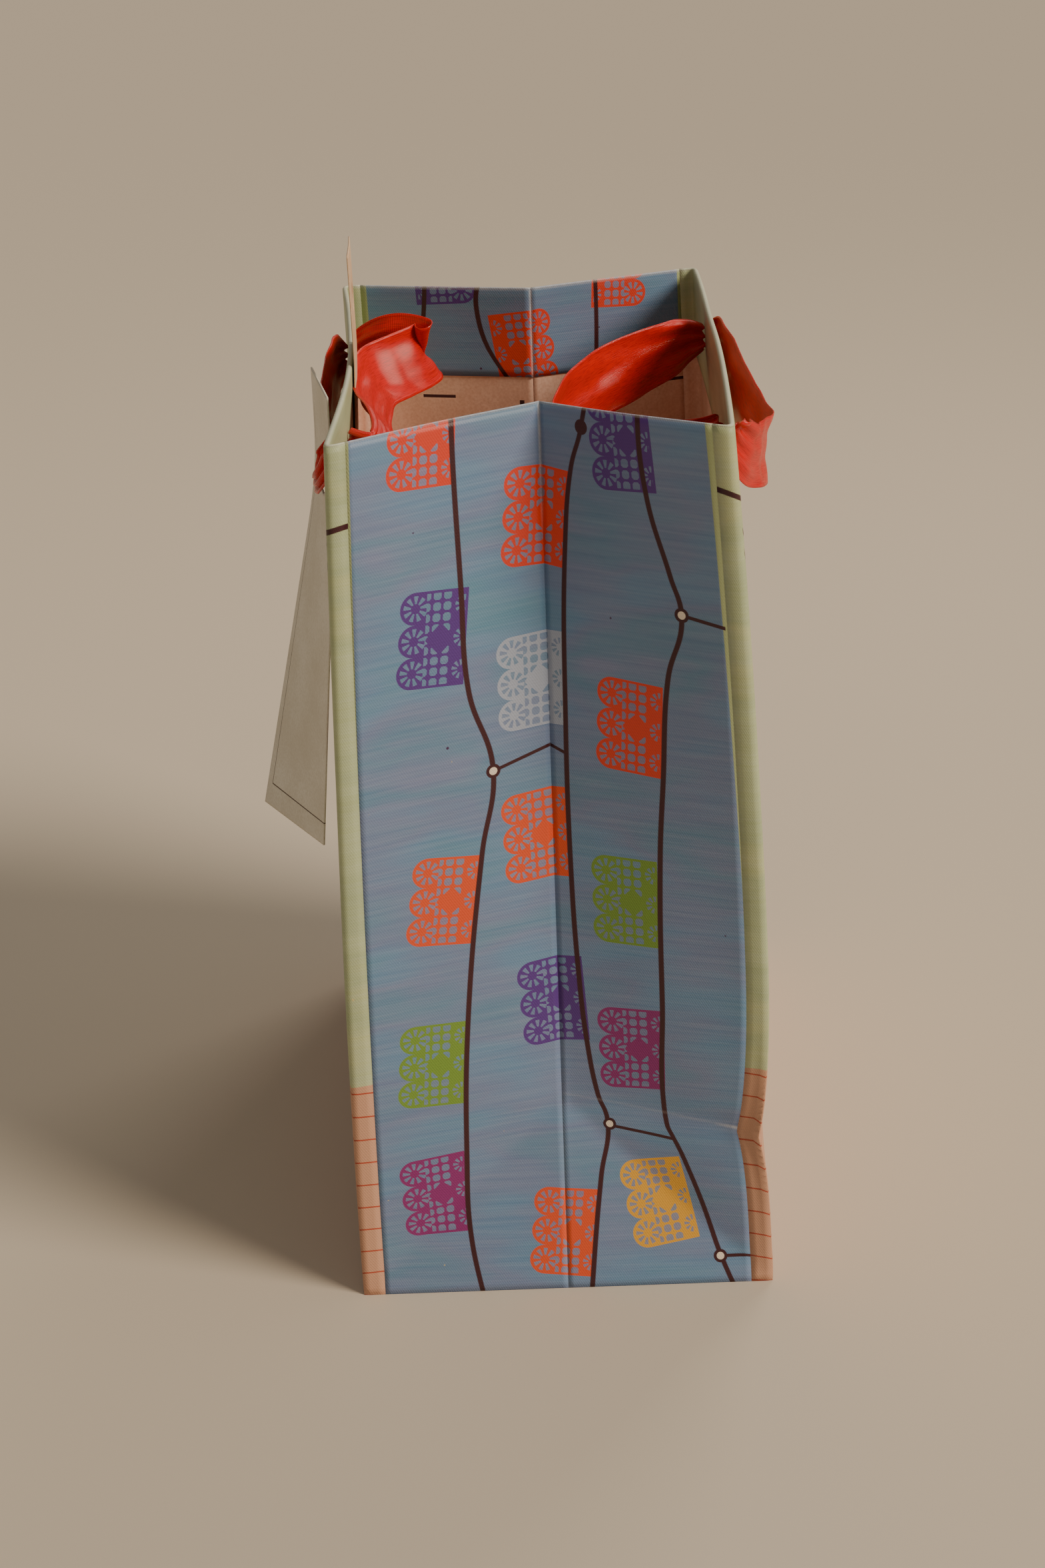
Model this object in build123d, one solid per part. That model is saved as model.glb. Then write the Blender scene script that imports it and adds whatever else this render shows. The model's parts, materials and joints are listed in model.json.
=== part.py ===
"""Paper gift bag with ribbon handles, a hang tag and a peg tab. Millimetres.

The origin is the centre of the base on the surface that the bag stands on. +Z is up, the front wall
is at -X, the back wall at +X, and the two creased gussets are at -Y (near) and +Y (far).
The walls lean in towards the mouth, so each gusset folds inwards along its middle crease.
"""

import os
from math import cos, hypot, pi, sin, sqrt

from build123d import *

os.makedirs("parts", exist_ok=True)

# Overall sizes
GUSSET = 120.0  # front wall to back wall, at the base
PANEL = 190.0  # width of the front and back walls
HEIGHT = 255.0  # base to rim

# Sheet thicknesses
PAPER = 0.35
RIM_CARD = 0.7  # strip that stiffens the rim
BASE_CARD = 0.9  # card that lies in the base
TAG_CARD = 0.5
PEG_CARD = 0.4
RIBBON = 0.5

# How far each wall leans in at the rim, at the near and far gussets
NEAR_PULL = 10.0
FAR_PULL = 3.0

# Folds, laps and clearances
FOLD_GAP = 0.3  # between two sheets that meet at a fold
TURN_IN = 29.0  # depth of the folded rim
RIM_CARD_DEPTH = 26.0
RIM_INSET = 3.0  # from a wall's side edge to its turned-in rim
GUSSET_INSET = 2.4  # from a gusset's side edge to its turned-in rim
SEAM_LAP = 14.0  # width of the glued side seam
SEAM_START = 3.6  # lower end of the side seam's lap, clear of the base
GLUE = 0.06  # between the side seam's lap and the gusset
BASE_CLEAR = 0.8  # base flaps to the walls
BOARD_CLEAR = 1.5  # base card to the walls
FLAP_LAP = 16.0  # overlap of the two long base flaps
END_FLAP = 45.0  # depth of the two end flaps
BOARD_CORNER = 3.0

# Handles: a flat ribbon ring through two punched holes in each wall
RIBBON_WIDTH = 19.0
HOLE_R = 3.0
HOLE_SPAN = 76.0
HOLE_DROP = 14.0  # rim to the holes' centres
CUTTER = 60.0  # length of the cutters for the punched holes
NECK_CLEAR = 0.5  # gathered ribbon to its hole
NECK_OUT = 1.0  # how far the gathered ribbon stands out of each side
LOOP_CLEAR = 1.0  # loop to the wall's faces
RIBBON_GATHERED = 7.0  # the ribbon's width where it runs into a hole
LOOP_SECTIONS = 16

# Each loop: how far its middle stands out of the wall, and how far it hangs below the holes
FRONT_OUTER = (11.0, 20.0)
FRONT_INNER = (24.0, 3.0)
BACK_OUTER = (17.0, 19.0)
BACK_INNER = (43.0, 9.0)

# Hang tag, threaded on the front outer loop, and peg tab, glued inside the front rim
TAG_LENGTH = 138.0
TAG_WIDTH = 41.0
TAG_CORNER = 1.5
TAG_SLOT = 27.0  # tag's top edge to the middle of its slot
TAG_SLOT_LENGTH = 13.0
TAG_SLOT_CLEAR = 2.0  # gathered ribbon to each end of the slot
TAG_GATHER = 15.0  # how far from the tag the ribbon is back at its full width
TAG_YAW = 18.0
TAG_LEAN = 7.0
TAG_ALONG = -14.0  # the tag's middle, along the wall
PEG_WIDTH = 28.0
PEG_ABOVE = 30.0
PEG_BELOW = 45.0
PEG_SLOT_R = 3.5

KNEE = GUSSET / 2  # the height where a gusset's crease meets its cross crease
HOLE_Z = HEIGHT - HOLE_DROP


def corner_x(z, pull):
    """Half the distance between the walls, at height z, where they lean in by pull at the rim."""
    return GUSSET / 2 - pull * z / HEIGHT


def full_depth(z, pull):
    """How far the crease lies inside the gusset's face, from the gusset's own width."""
    return sqrt((GUSSET / 2) ** 2 - corner_x(z, pull) ** 2)


def crease_depth(z, pull):
    """The crease's depth at height z: straight from the base to the knee, and on to the rim."""
    knee = full_depth(KNEE, pull)
    if z <= KNEE:
        return knee * z / KNEE
    return knee + (full_depth(HEIGHT, pull) - knee) * (z - KNEE) / (HEIGHT - KNEE)


def sheet(levels, ends, start, thickness, inset_a=0.0, inset_b=0.0, turn=1):
    """A sheet through the lines that ends(z) gives, set in from them by start.

    inset_a and inset_b shorten its two ends, and turn is 1 where the bag's inside is on the line's left.
    """
    sections = []
    for z in levels:
        (ax, ay), (bx, by) = ends(z)
        length = hypot(bx - ax, by - ay)
        ux, uy = (bx - ax) / length, (by - ay) / length
        nx, ny = -uy * turn, ux * turn
        quad = []
        for along, deep in (
            (inset_a, start),
            (length - inset_b, start),
            (length - inset_b, start + thickness),
            (inset_a, start + thickness),
        ):
            quad.append((ax + ux * along + nx * deep, ay + uy * along + ny * deep, z))
        sections.append(Face(Wire.make_polygon(quad)))
    return Solid.make_loft([face.outer_wire() for face in sections], ruled=True)


def wall_ends(side):
    """The line of a wall at each height. side is -1 for the front wall and 1 for the back wall."""

    def ends(z):
        near = (side * corner_x(z, NEAR_PULL), -PANEL / 2)
        far = (side * corner_x(z, FAR_PULL), PANEL / 2)
        return near, far

    return ends


def gusset_ends(side, end):
    """The line of half a gusset. end is -1 for the near gusset and 1 for the far gusset."""
    pull = NEAR_PULL if end < 0 else FAR_PULL

    def ends(z):
        corner = (side * corner_x(z, pull), end * PANEL / 2)
        crease = (0.0, end * (PANEL / 2 - crease_depth(z, pull)))
        return corner, crease

    return ends


def punched(solid, side):
    """A wall layer with the two handle holes."""
    for y in (-HOLE_SPAN / 2, HOLE_SPAN / 2):
        solid -= Pos(side * GUSSET / 2, y, HOLE_Z) * Rot(0, 90, 0) * Cylinder(HOLE_R, CUTTER)
    return solid


def wall_face(side, y, z):
    """x of a wall's outer face."""
    (near, _), (far, _) = wall_ends(side)(z)
    return near + (far - near) * (y / PANEL + 0.5)


def make_wall(name, side):
    """A wall with the strip and the turned-in rim behind its upper edge."""
    ends = wall_ends(side)
    turn = side  # the front wall's line runs towards +Y with the inside on its right
    parts = {f"{name}_panel": sheet((0, HEIGHT), ends, 0, PAPER, turn=turn)}
    parts[f"{name}_rim_card"] = sheet(
        (HEIGHT - RIM_CARD_DEPTH, HEIGHT), ends, PAPER, RIM_CARD, RIM_INSET, RIM_INSET, turn
    )
    parts[f"{name}_rim_turn_in"] = sheet(
        (HEIGHT - TURN_IN, HEIGHT), ends, PAPER + RIM_CARD, PAPER, RIM_INSET, RIM_INSET, turn
    )
    return {node: punched(solid, side) for node, solid in parts.items()}


def make_gusset_half(name, side, end):
    """Half a gusset, from its wall to the middle crease, with its turned-in rim."""
    ends = gusset_ends(side, end)
    turn = side * end
    inset = PAPER + FOLD_GAP
    half = sheet((0, KNEE, HEIGHT), ends, 0, PAPER, inset, FOLD_GAP / 2, turn)
    rim = sheet((HEIGHT - TURN_IN, HEIGHT), ends, PAPER, PAPER, GUSSET_INSET, FOLD_GAP, turn)
    return {f"{name}_half": half, f"{name}_turn_in": rim}


def make_seam():
    """The lap that closes the tube, glued behind the near gusset beside the back wall."""
    ends = gusset_ends(1, -1)
    top = HEIGHT - TURN_IN - FOLD_GAP

    def lap(z):
        (ax, ay), (bx, by) = ends(z)
        length = hypot(bx - ax, by - ay)
        share = (SEAM_LAP + GUSSET_INSET) / length
        return (ax, ay), (ax + (bx - ax) * share, ay + (by - ay) * share)

    levels = (SEAM_START, KNEE, top)
    return {"side_seam_flap": sheet(levels, lap, PAPER + GLUE, PAPER, GUSSET_INSET, 0, -1)}


def make_base():
    """The folded bottom, outermost sheet first, and the card that lies on it."""
    half_x = GUSSET / 2 - BASE_CLEAR
    half_y = PANEL / 2 - BASE_CLEAR
    long_flap = half_x + FLAP_LAP / 2
    parts = {}
    stand = (Align.CENTER, Align.CENTER, Align.MIN)
    for node, side, z in (("base_back_flap", 1, 0), ("base_front_flap", -1, PAPER)):
        middle = side * (half_x - long_flap / 2)
        parts[node] = Pos(middle, 0, z) * Box(long_flap, 2 * half_y, PAPER, align=stand)
    for node, end in (("base_near_flap", -1), ("base_far_flap", 1)):
        outline = [
            (-half_x, end * half_y),
            (half_x, end * half_y),
            (half_x - END_FLAP, end * (half_y - END_FLAP)),
            (-half_x + END_FLAP, end * (half_y - END_FLAP)),
        ]
        face = Face(Wire.make_polygon([(x, y, 2 * PAPER) for x, y in outline]))
        parts[node] = Solid.extrude(face, Vector(0, 0, PAPER))
    size = (GUSSET - 2 * BOARD_CLEAR, PANEL - 2 * BOARD_CLEAR)
    card = extrude(RectangleRounded(*size, BOARD_CORNER), BASE_CARD)
    parts["base_card"] = Pos(0, 0, 3 * PAPER) * card
    return parts


def loop_base(side, inside):
    """Where a loop starts: the x of its line of holes, and the direction in which it stands out.

    side is -1 for the front wall. inside is 1 for a loop inside the bag and -1 for one outside.
    """
    away = -side * inside
    layers = PAPER * 2 + RIM_CARD if inside > 0 else 0
    skew = abs(wall_face(side, HOLE_SPAN / 2, HOLE_Z - RIBBON_WIDTH) - wall_face(side, 0, HOLE_Z))
    return wall_face(side, 0, HOLE_Z) - side * layers + away * (LOOP_CLEAR + skew), away


def loop_point(side, inside, out, drop, y):
    """The middle of a loop's ribbon at y."""
    x, away = loop_base(side, inside)
    share = sqrt(1 - (2 * y / HOLE_SPAN) ** 2)
    return Vector(x + away * out * share, y, HOLE_Z - drop * share)


def ribbon_width(y, tag_y=None):
    """The ribbon's width at y: gathered at the holes, and at a tag that it runs through."""
    share = sqrt(sqrt(1 - (2 * y / HOLE_SPAN) ** 2))
    if tag_y is not None:
        share = min(share, max(0, abs(y - tag_y) - TAG_SLOT_LENGTH / 2) / TAG_GATHER)
    return RIBBON_GATHERED + (RIBBON_WIDTH - RIBBON_GATHERED) * share


def make_loop(side, inside, out, drop, tag_y=None):
    """One loop of a handle: a U of flat ribbon between the wall's two holes, its width upright."""
    half = HOLE_SPAN / 2
    away = loop_base(side, inside)[1]
    sections = []
    for k in range(LOOP_SECTIONS + 1):
        turn = pi * k / LOOP_SECTIONS
        y = half * cos(turn)
        middle = loop_point(side, inside, out, drop, y)
        normal = Vector(away * half * sin(turn), out * cos(turn), 0).normalized() * (RIBBON / 2)
        up = Vector(0, 0, ribbon_width(y, tag_y) / 2)
        low, high = middle - up, middle + up
        sections.append(Wire.make_polygon([low - normal, low + normal, high + normal, high - normal]))
    return Solid.make_loft(sections, ruled=True)


def make_necks(side):
    """The gathered ribbon in the wall's two holes."""
    layers = PAPER * 2 + RIM_CARD
    length = layers + 2 * NECK_OUT
    necks = []
    for y in (-HOLE_SPAN / 2, HOLE_SPAN / 2):
        x = wall_face(side, y, HOLE_Z) - side * layers / 2
        necks.append(Pos(x, y, HOLE_Z) * Rot(0, 90, 0) * Cylinder(HOLE_R - NECK_CLEAR, length))
    return Compound(children=necks)


def make_tag():
    """The hang tag. The front outer loop runs through its slot."""
    card = extrude(RectangleRounded(TAG_LENGTH, TAG_WIDTH, TAG_CORNER), TAG_CARD / 2, both=True)
    slot = Box(RIBBON_GATHERED + 2 * TAG_SLOT_CLEAR, TAG_SLOT_LENGTH, TAG_CARD * 2)
    card = Pos(TAG_SLOT - TAG_LENGTH / 2, 0, 0) * card - slot
    upright = Rot(0, TAG_LEAN, 0) * Rot(0, 0, TAG_YAW) * Rot(0, -90, 0)
    return Pos(loop_point(-1, -1, *FRONT_OUTER, TAG_ALONG)) * upright * card


def make_peg_tab():
    """The card that stands up out of the front rim, with a hole to hang it by."""
    ends = wall_ends(-1)
    inset = (PANEL - PEG_WIDTH) / 2
    start = PAPER * 2 + RIM_CARD
    tab = sheet((HEIGHT - PEG_BELOW, HEIGHT + PEG_ABOVE), ends, start, PEG_CARD, inset, inset, -1)
    x = wall_face(-1, 0, HEIGHT)
    tab -= Pos(x, 0, HEIGHT + PEG_ABOVE / 2) * Rot(0, 90, 0) * Cylinder(PEG_SLOT_R, CUTTER)
    return tab


def make_bag():
    """Every piece of the bag, by its node name."""
    parts = make_base()
    for name, side in (("front", -1), ("back", 1)):
        parts.update(make_wall(name, side))
        parts[f"{name}_ribbon_necks"] = make_necks(side)
        for end_name, end in (("near", -1), ("far", 1)):
            parts.update(make_gusset_half(f"{end_name}_gusset_{name}", side, end))
    parts.update(make_seam())
    parts["front_ribbon_outer"] = make_loop(-1, -1, *FRONT_OUTER, TAG_ALONG)
    parts["front_ribbon_inner"] = make_loop(-1, 1, *FRONT_INNER)
    parts["back_ribbon_outer"] = make_loop(1, -1, *BACK_OUTER)
    parts["back_ribbon_inner"] = make_loop(1, 1, *BACK_INNER)
    parts["hang_tag"] = make_tag()
    parts["peg_tab"] = make_peg_tab()
    return parts


for node, shape in make_bag().items():
    export_step(shape, f"parts/{node}.step")
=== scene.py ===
"""Paper gift bag with satin ribbon handles: its looks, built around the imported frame.

Lengths are in metres. The bag stands on its base at the origin, +Z up, front wall at -X, back wall
at +X, near gusset at -Y and far gusset at +Y.
"""

from __future__ import annotations

import json
import logging
import math
from collections.abc import Callable, Sequence
from dataclasses import dataclass, field
from enum import Enum
from typing import Union

import bmesh
import bpy
from mathutils import Matrix, Vector, noise

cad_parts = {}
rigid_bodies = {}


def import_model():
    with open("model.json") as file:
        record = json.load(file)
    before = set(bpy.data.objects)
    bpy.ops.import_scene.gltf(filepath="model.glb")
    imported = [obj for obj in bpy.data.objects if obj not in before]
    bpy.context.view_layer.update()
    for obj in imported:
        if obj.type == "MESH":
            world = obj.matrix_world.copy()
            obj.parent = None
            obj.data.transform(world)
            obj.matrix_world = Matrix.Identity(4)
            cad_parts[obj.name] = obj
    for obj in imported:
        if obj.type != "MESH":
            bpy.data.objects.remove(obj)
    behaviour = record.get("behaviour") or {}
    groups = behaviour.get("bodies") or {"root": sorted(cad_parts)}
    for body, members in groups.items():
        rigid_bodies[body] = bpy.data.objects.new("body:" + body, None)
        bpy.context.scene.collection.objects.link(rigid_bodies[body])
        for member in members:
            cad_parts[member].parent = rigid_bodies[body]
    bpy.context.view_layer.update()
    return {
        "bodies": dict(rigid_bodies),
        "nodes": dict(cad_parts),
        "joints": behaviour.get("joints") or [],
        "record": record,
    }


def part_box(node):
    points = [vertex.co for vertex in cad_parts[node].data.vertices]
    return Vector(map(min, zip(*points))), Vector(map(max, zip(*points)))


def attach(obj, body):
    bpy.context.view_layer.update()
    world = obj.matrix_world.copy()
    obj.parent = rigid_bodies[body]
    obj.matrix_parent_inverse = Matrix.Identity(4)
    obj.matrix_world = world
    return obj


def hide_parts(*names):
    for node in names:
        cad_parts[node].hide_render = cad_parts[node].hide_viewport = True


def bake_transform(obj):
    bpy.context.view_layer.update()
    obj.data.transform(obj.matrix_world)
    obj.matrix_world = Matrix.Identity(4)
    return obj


log = logging.getLogger("gift_bag")

MM = 0.001
UV_NAME = "paper"

Socket = bpy.types.NodeSocket
Value = Union[Socket, float, tuple]
Place = Callable[[float, float], Vector]
Spot = Callable[[float, float], tuple[float, float]]


class Named:
    """Gives an enum's members their names in the frame."""

    name: str

    @property
    def label(self) -> str:
        """The member's name in the frame."""
        return self.name.lower()


class Side(Named, Enum):
    """Which wall a piece belongs to."""

    FRONT = -1
    BACK = 1


class End(Named, Enum):
    """Which gusset a piece belongs to."""

    NEAR = -1
    FAR = 1


class Run(Enum):
    """The way a printed cord runs over the paper."""

    UP = "up"
    ACROSS = "across"


# --- shader helpers -----------------------------------------------------------------------------


def linear(colour: str) -> tuple[float, float, float, float]:
    """Turns an sRGB hex colour to linear light.

    Args:
        colour: Six hex digits.

    Returns:
        Red, green, blue and an alpha of 1.
    """
    parts = [int(colour[i : i + 2], 16) / 255 for i in (0, 2, 4)]
    flat = [c / 12.92 if c <= 0.04045 else ((c + 0.055) / 1.055) ** 2.4 for c in parts]
    return (*flat, 1.0)


def add(
    tree: bpy.types.NodeTree, kind: str, inputs: dict | None = None, out: int | str = 0, **settings
) -> Socket:
    """Adds a node with its settings and links.

    Args:
        tree: The material's node tree.
        kind: The node's type, without its ShaderNode prefix.
        inputs: A socket to link or a value to set, by the input's name or number.
        out: The output to return, by name or number.
        **settings: The node's own properties.

    Returns:
        The chosen output socket.
    """
    made = tree.nodes.new("ShaderNode" + kind)
    for name, value in settings.items():
        setattr(made, name, value)
    for name, value in (inputs or {}).items():
        if isinstance(value, Socket):
            tree.links.new(value, made.inputs[name])
        else:
            made.inputs[name].default_value = value
    return made.outputs[out]


def mix(tree: bpy.types.NodeTree, share: Value, under: Value, over: Value) -> Socket:
    """Lays one colour over another.

    Args:
        tree: The material's node tree.
        share: How much of the upper colour shows.
        under: The lower colour.
        over: The upper colour.

    Returns:
        The mixed colour's socket.
    """
    made = tree.nodes.new("ShaderNodeMix")
    made.data_type = "RGBA"
    for name, kind, value in (("Factor", "VALUE", share), ("A", "RGBA", under), ("B", "RGBA", over)):
        socket = next(s for s in made.inputs if s.name == name and s.type == kind)
        if isinstance(value, Socket):
            tree.links.new(value, socket)
        else:
            socket.default_value = value
    return next(s for s in made.outputs if s.type == "RGBA")


def new_material(name: str, **shader) -> tuple[bpy.types.Material, bpy.types.Node]:
    """Makes a material with one Principled shader.

    Args:
        name: The material's name.
        **shader: Constants for the shader's sockets, with _ for a space in a name.

    Returns:
        The material and its shader node.
    """
    material = bpy.data.materials.new(name)
    material.use_nodes = True
    principled = material.node_tree.nodes["Principled BSDF"]
    for socket, value in shader.items():
        principled.inputs[socket.replace("_", " ")].default_value = value
    return material, principled


def calc(tree: bpy.types.NodeTree, operation: str, first: Value, *others: Value, clamp: bool = False) -> Socket:
    """Does one kind of sum on sockets or numbers, from the left where there are more than two.

    Args:
        tree: The material's node tree.
        operation: The sum's name.
        first: The first socket or number.
        *others: The rest of them.
        clamp: Whether the result is kept between 0 and 1.

    Returns:
        The result's socket.
    """
    for other in others or (0.0,):
        first = add(tree, "Math", {0: first, 1: other}, operation=operation, use_clamp=clamp)
    return first


def in_mm(tree: bpy.types.NodeTree) -> Socket:
    """The sheet's own coordinates, in millimetres."""
    uv = add(tree, "UVMap", uv_map=UV_NAME)
    return add(tree, "VectorMath", {0: uv, "Scale": 1 / MM}, operation="SCALE")


def x_and_y(tree: bpy.types.NodeTree, spot: Socket) -> tuple[Socket, Socket]:
    """A vector's first two parts."""
    x, y = (add(tree, "SeparateXYZ", {0: spot}, axis) for axis in "XY")
    return x, y


def ramp_colour(tree: bpy.types.NodeTree, factor: Socket, stops: Sequence[tuple[float, str]]) -> Socket:
    """Turns a factor to a colour.

    Args:
        tree: The material's node tree.
        factor: The socket to read.
        stops: Places between 0 and 1 in order, each with its sRGB colour.

    Returns:
        The colour's socket.
    """
    ramp = tree.nodes.new("ShaderNodeValToRGB")
    tree.links.new(factor, ramp.inputs[0])
    marks = ramp.color_ramp.elements
    for k, (place, colour) in enumerate(stops):
        mark = marks[k] if k < 2 else marks.new(place)
        mark.position = place
        mark.color = linear(colour)
    return ramp.outputs[0]


def emboss(shader: bpy.types.Node, height: Socket, depth: float, strength: float) -> None:
    """Roughens a shader's surface by a height, to a depth in metres."""
    tree = shader.id_data
    bump = add(tree, "Bump", {"Height": height, "Distance": depth, "Strength": strength}, "Normal")
    tree.links.new(bump, shader.inputs["Normal"])


# --- the printed artwork ------------------------------------------------------------------------


@dataclass(frozen=True)
class Flag:
    """A paper flag in the print: its middle on the sheet and its turn, in millimetres and degrees."""

    across: float
    up: float
    colour: str
    turn: float = 0.0


@dataclass(frozen=True)
class Cord:
    """A printed cord, as points (along its run, off to the side), in millimetres.

    It is printed where it is within reach of the sheet's middle.
    """

    run: Run
    points: tuple[tuple[float, float], ...]
    reach: float = 400.0


@dataclass(frozen=True)
class Tie:
    """A short printed twig from a knot, in millimetres."""

    start: tuple[float, float]
    end: tuple[float, float]


@dataclass(frozen=True)
class Knot:
    """A printed knot, with or without a pale heart, in millimetres."""

    across: float
    up: float
    has_heart: bool = True


RED = "e0452f"
ORANGE = "e4562f"
PURPLE = "5a3687"
GREEN = "77993c"
MAGENTA = "8c2c72"
YELLOW = "e3a83a"
MIST = "a7b0c3"


@dataclass(frozen=True)
class Artwork:
    """A sheet's print.

    Attributes:
        name: The paper's name.
        grounds: The ground's colours.
        cords: The printed cords.
        flags: The paper flags.
        ties: The short twigs.
        knots: The knots.
        strip_left: Where the left side strip ends, at the base and at the rim.
        strip_right: Where the right side strip begins, likewise.
        is_gusset: Whether the sheet has side strips and worn creases.
    """

    name: str
    grounds: tuple[str, ...]
    cords: tuple[Cord, ...]
    flags: tuple[Flag, ...]
    ties: tuple[Tie, ...] = ()
    knots: tuple[Knot, ...] = ()
    strip_left: tuple[float, float] = (-200.0, -200.0)
    strip_right: tuple[float, float] = (200.0, 200.0)
    is_gusset: bool = False


GUSSET_PRINT = Artwork(
    name="printed_gusset_paper",
    grounds=("4d83a2", "5881a8", "6578a0", "547d9f", "6d7aa2"),
    cords=(
        Cord(
            Run.UP,
            (
                (0, -25), (20, -28), (41, -28), (85, -26), (136, -20), (159, -16), (183, -22),
                (211, -23), (258, -24), (284, -23),
            ),
        ),
        Cord(
            Run.UP,
            (
                (0, 7), (33, 11), (49, 14), (58, 11), (75, 8), (99, 6), (126, 5), (169, 5),
                (218, 7), (239, 10), (250, 14), (262, 16), (284, 8),
            ),
        ),
        Cord(
            Run.UP,
            (
                (0, 48), (8, 45), (26, 40), (39, 36), (55, 31), (90, 30), (134, 31), (157, 33),
                (186, 36), (204, 41), (214, 38.5), (235, 33), (255, 32), (284, 37),
            ),
        ),
    ),
    flags=(
        Flag(-32.5, 252, RED, -4),
        Flag(-31.5, 199, PURPLE, -6),
        Flag(-31.5, 124, ORANGE, -8),
        Flag(-36.5, 74, GREEN, -4),
        Flag(-37.5, 31, MAGENTA, 3),
        Flag(-1.5, 226, RED, -5),
        Flag(-4.5, 182, MIST, 0),
        Flag(-4.5, 138, ORANGE, 2),
        Flag(-1.5, 88, PURPLE, 4),
        Flag(-0.5, 17, ORANGE, -6),
        Flag(26, 248, PURPLE, 3),
        Flag(24, 171, RED, -4),
        Flag(20.5, 120, GREEN, 0),
        Flag(21, 74, MAGENTA, 2),
        Flag(27.5, 25, YELLOW, 10),
        Flag(1.5, 276, RED, 8),
    ),
    ties=(
        Tie((-16, 159), (0, 163)),
        Tie((0, 163), (5, 161)),
        Tie((15, 48), (34, 45)),
        Tie((41, 204), (53, 202)),
        Tie((45, 8), (58, 8)),
    ),
    knots=(Knot(-16, 159), Knot(14.6, 48.5), Knot(41, 204), Knot(44.8, 8), Knot(14, 250, False)),
    strip_left=(-55.0, -52.6),
    strip_right=(55.5, 51.5),
    is_gusset=True,
)

WALL_PRINT = Artwork(
    name="printed_wall_paper",
    grounds=("adb886", "b4bf8e", "a6b382", "b9bf88", "adb98e"),
    cords=(
        Cord(
            Run.ACROSS,
            (
                (-110, 240), (-95, 237), (-70, 228), (-35, 218), (0, 214), (35, 218), (70, 226),
                (95, 233), (110, 234),
            ),
        ),
        Cord(
            Run.ACROSS,
            (
                (-110, 240), (-95, 231), (-60, 178), (-20, 153), (20, 152), (60, 178), (95, 233),
                (110, 242),
            ),
            92.0,
        ),
        Cord(
            Run.ACROSS,
            (
                (-110, 239), (-96, 229), (-60, 132), (0, 99), (60, 132), (96, 231), (110, 241),
            ),
            92.0,
        ),
    ),
    flags=(
        Flag(-76, 216, RED, 77),
        Flag(-44, 209, PURPLE, 80),
        Flag(-12, 204, ORANGE, 84),
        Flag(26, 205, GREEN, 97),
        Flag(60, 214, MAGENTA, 104),
        Flag(-54, 160, YELLOW, 52),
        Flag(-28, 147, MAGENTA, 66),
        Flag(2, 141, RED, 90),
        Flag(32, 148, PURPLE, 114),
        Flag(58, 163, ORANGE, 128),
        Flag(-50, 110, GREEN, 56),
        Flag(-20, 94, RED, 76),
        Flag(14, 92, YELLOW, 102),
        Flag(46, 106, MAGENTA, 120),
    ),
)

DARK_CORD = "431d22"
KNOT_HEART = "efe0cc"
MINT = "b2bb8b"
MINT_SHADE = "9faa7a"
PINK = "cd9c80"
RED_LINE = "b4472f"
WORN = "e9e6e4"
FLAG_HALF = (9.5, 13.0)
LOBE = FLAG_HALF[1] / 1.5 / 2
CORD_HALF = 0.75
KNOT_R = 2.0
HEART_R = 1.1
PINK_TOP = 71.5
RIM_FOLD = 255.4
CROSS_TOP = 58.0
CROSS_FALL = 9.0 / 60.0
LINE_PITCH = 7.7
LINE_FALL = 0.08
THREAD_PITCH = 0.7
PICK_PITCH = 0.5
TOP_OF_PRINT = 290.0
WIDTH_OF_PRINT = 240.0


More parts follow.
